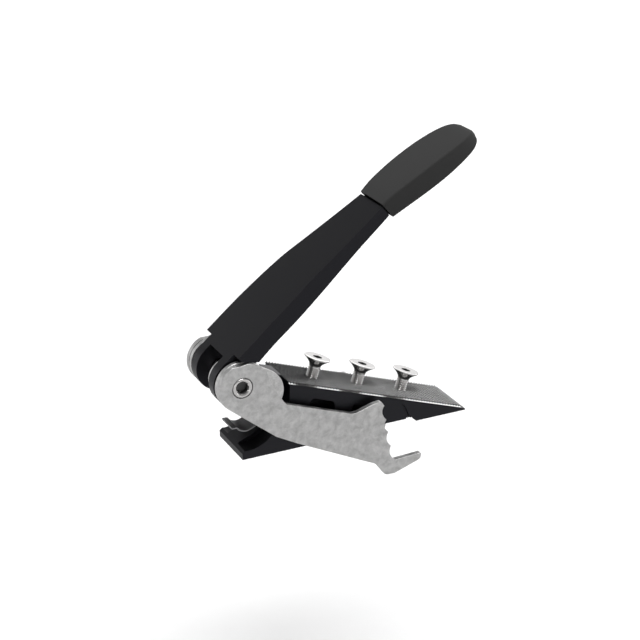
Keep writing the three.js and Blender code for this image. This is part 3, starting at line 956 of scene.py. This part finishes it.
class CLAMP_OT_discs(bpy.types.Operator):
    """Makes the cam discs, wear washers, thrust plate and axle pin."""
    bl_idname = "clamp.discs"
    bl_label = "Discs and axle"

    WASHER_EDGE, THRUST_EDGE, PIN_EDGE = 0.08 * MM, 0.2 * MM, 0.3 * MM

    def execute(self, context):
        for name in SIDES:
            finished_copy(f"cam_disc_{name}_pressed", f"cam_disc_{name}", "lever",
                          "disc_steel", sizes().plate_edge)
            finished_copy(f"wear_washer_{name}_cut", f"wear_washer_{name}", "lever",
                          "washer_plastic", self.WASHER_EDGE, FINE)
        finished_copy("thrust_plate_pressed", "thrust_plate", "lever", "disc_steel",
                      self.THRUST_EDGE, FINE)
        finished_copy("axle_pin_turned", "axle_pin", "lever", "bright_steel",
                      self.PIN_EDGE, FINE)
        return {"FINISHED"}


class CLAMP_OT_hooks(bpy.types.Operator):
    """Makes the two toothed hook plates."""
    bl_idname = "clamp.hooks"
    bl_label = "Hook plates"

    def execute(self, context):
        for name in SIDES:
            finished_copy(f"hook_plate_{name}_cut", f"hook_plate_{name}", "hooks",
                          "plate_steel", sizes().plate_edge)
        return {"FINISHED"}


class CLAMP_OT_bolts(bpy.types.Operator):
    """Makes the cross shaft and the socket bolt at each of its ends."""
    bl_idname = "clamp.bolts"
    bl_label = "Pivot bolts"

    PROFILE = [(4.4, -3.4, "hex"), (5.0, -3.1, "hex"), (5.1, -0.75, "hex"), (3.2, -0.5),
               (3.65, -0.08), (3.85, -0.01), (4.0, 0.0), (4.2, -0.05), (4.5, -0.2),
               (4.72, -0.42), (4.8, -0.75), (4.8, -3.9), (4.7, -4.0), (2.5, -4.0), (2.4, -4.2),
               (2.4, -11.3), (2.2, -11.5)]
    TIP = PROFILE[-1][1]
    SOCKET_FLOOR = -3.7
    SOCKET_TOP, SOCKET_WIDE = -0.5, 3.0
    HEX_TURN = 0.35             # radians that the socket's hexagon is turned by
    SHARP = 34.0
    SHAFT_EDGE = 0.2 * MM

    def execute(self, context):
        for name, side in SIDES.items():
            node = f"pivot_bolt_{name}"
            axis = ACROSS * side
            top = abs(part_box(node)[0 if side < 0 else 1].y) / MM
            seat = Vector((BOLT.x, 0, BOLT.z))
            across = Vector((math.cos(self.HEX_TURN), 0, math.sin(self.HEX_TURN)))
            rings = turned_rings(axis, across, top, self.PROFILE, seat)
            mesh = skin(node + "_turned", rings, seat + axis * (top + self.SOCKET_FLOOR) * MM,
                        seat + axis * (top + self.TIP) * MM)
            mark_radius(mesh, seat, axis)
            piece(node + "_turned", mesh, "hooks", ["bright_steel", "socket_painted_shade"],
                  [node])
            # paints shade into the socket by giving its walls and floor the dark second material
            paint_socket_shade(mesh, seat, axis, top + self.SOCKET_TOP, self.SOCKET_WIDE)
            sharpen(mesh, self.SHARP)
        finished_copy("cross_shaft_turned", "cross_shaft", "hooks", "bright_steel",
                      self.SHAFT_EDGE, FINE)
        return {"FINISHED"}


class CLAMP_OT_stage(bpy.types.Operator):
    """Makes the floor, the studio light and the camera."""
    bl_idname = "clamp.stage"
    bl_label = "Stage"

    FLOOR_DROP = 0.12
    FLOOR_SIZE = 12.0
    SUN_FROM = Vector((0.1, -0.15, 1.0))
    SUN_POWER = 2.75
    SUN_SPREAD = math.radians(46)
    BACK_FROM = Vector((0.95, 1.07, 0.48))
    BACK_SIZE = (0.8, 0.5)
    BACK_POWER = 1.6
    SKY_LOW, SKY_HIGH = 0.95, 0.34
    SKY_FADE = (0.1, 0.36)

    def execute(self, context):
        self.floor()
        self.lights()
        self.camera()
        return {"FINISHED"}

    def floor(self):
        half = self.FLOOR_SIZE / 2
        level = CAD_BOX[0][2] - self.FLOOR_DROP
        mesh = bpy.data.meshes.new("studio_floor")
        mesh.from_pydata([(-half, -half, level), (half, -half, level), (half, half, level),
                          (-half, half, level)], [], [(0, 1, 2, 3)])
        mesh.materials.append(finish("pale_floor"))
        floor = bpy.data.objects.new("studio_floor", mesh)
        bpy.context.scene.collection.objects.link(floor)

    def lights(self):
        """One very wide soft light overhead and a sky that is bright only near the horizon."""
        lamp = bpy.data.lights.new("overhead_soft", "SUN")
        lamp.energy = self.SUN_POWER
        lamp.angle = self.SUN_SPREAD
        thing = bpy.data.objects.new("overhead_soft", lamp)
        bpy.context.scene.collection.objects.link(thing)
        thing.rotation_euler = (-self.SUN_FROM).to_track_quat("-Z", "Y").to_euler()
        panel = bpy.data.lights.new("back_panel", "AREA")
        panel.shape = "RECTANGLE"
        panel.size, panel.size_y = self.BACK_SIZE
        panel.energy = self.BACK_POWER
        thing = bpy.data.objects.new("back_panel", panel)
        bpy.context.scene.collection.objects.link(thing)
        thing.location = self.BACK_FROM
        thing.rotation_euler = (-self.BACK_FROM).to_track_quat("-Z", "Y").to_euler()
        world = bpy.data.worlds.new("pale_studio")
        world.use_nodes = True
        tree = world.node_tree
        aim = add(tree, "ShaderNodeTexCoord").outputs["Generated"]
        rise = add(tree, "ShaderNodeSeparateXYZ", [(0, aim)]).outputs["Z"]
        fade = add(tree, "ShaderNodeMapRange", [
            ("Value", rise), ("From Min", self.SKY_FADE[0]), ("From Max", self.SKY_FADE[1]),
            ("To Min", self.SKY_LOW), ("To Max", self.SKY_HIGH)], interpolation_type="SMOOTHSTEP")
        sky = tree.nodes["Background"]
        sky.inputs["Color"].default_value = (1.0, 1.0, 1.0, 1.0)
        tree.links.new(fade.outputs[0], sky.inputs["Strength"])
        bpy.context.scene.world = world
        bpy.context.scene.view_settings.view_transform = "Standard"

    def camera(self):
        back = CAMERA_BACK.normalized()
        up = back.cross(CAMERA_RIGHT).normalized()
        right = up.cross(back).normalized()
        lens = bpy.data.cameras.new("studio_camera")
        lens.lens = CAMERA_LENS
        lens.sensor_width = SENSOR_WIDTH
        lens.clip_start = CLIP_START
        lens.clip_end = CLIP_END
        camera = bpy.data.objects.new("studio_camera", lens)
        bpy.context.scene.collection.objects.link(camera)
        turn = Matrix((right, up, back)).transposed().to_4x4()
        turn.translation = CAMERA_SPOT
        camera.matrix_world = turn
        bpy.context.scene.camera = camera


PIECES = (CLAMP_OT_block, CLAMP_OT_screws, CLAMP_OT_leaf, CLAMP_OT_lever, CLAMP_OT_grip,
          CLAMP_OT_discs, CLAMP_OT_hooks, CLAMP_OT_bolts, CLAMP_OT_stage)


class CLAMP_PT_panel(bpy.types.Panel):
    """Lists the clamp's pieces."""
    bl_idname = "CLAMP_PT_panel"
    bl_label = "Hook clamp"
    bl_space_type = "VIEW_3D"
    bl_region_type = "UI"
    bl_category = "Clamp"

    def draw(self, context):
        for group in (context.scene.clamp_sizes, context.scene.clamp_colours):
            box = self.layout.box()
            for key in group.__annotations__:
                box.prop(group, key)
        for operator in PIECES:
            self.layout.operator(operator.bl_idname)


CLASSES = (ClampSizes, ClampColours, *PIECES, CLAMP_PT_panel)


def register():
    for item in CLASSES:
        bpy.utils.register_class(item)
    bpy.types.Scene.clamp_sizes = bpy.props.PointerProperty(type=ClampSizes)
    bpy.types.Scene.clamp_colours = bpy.props.PointerProperty(type=ClampColours)


def unregister():
    del bpy.types.Scene.clamp_colours
    del bpy.types.Scene.clamp_sizes
    for item in reversed(CLASSES):
        bpy.utils.unregister_class(item)


def main():
    register()
    for operator in PIECES:
        family, name = operator.bl_idname.split(".")
        if getattr(getattr(bpy.ops, family), name)() != {"FINISHED"}:
            raise RuntimeError(f"{operator.bl_label} did not finish")


if __name__ == "__main__":
    main()
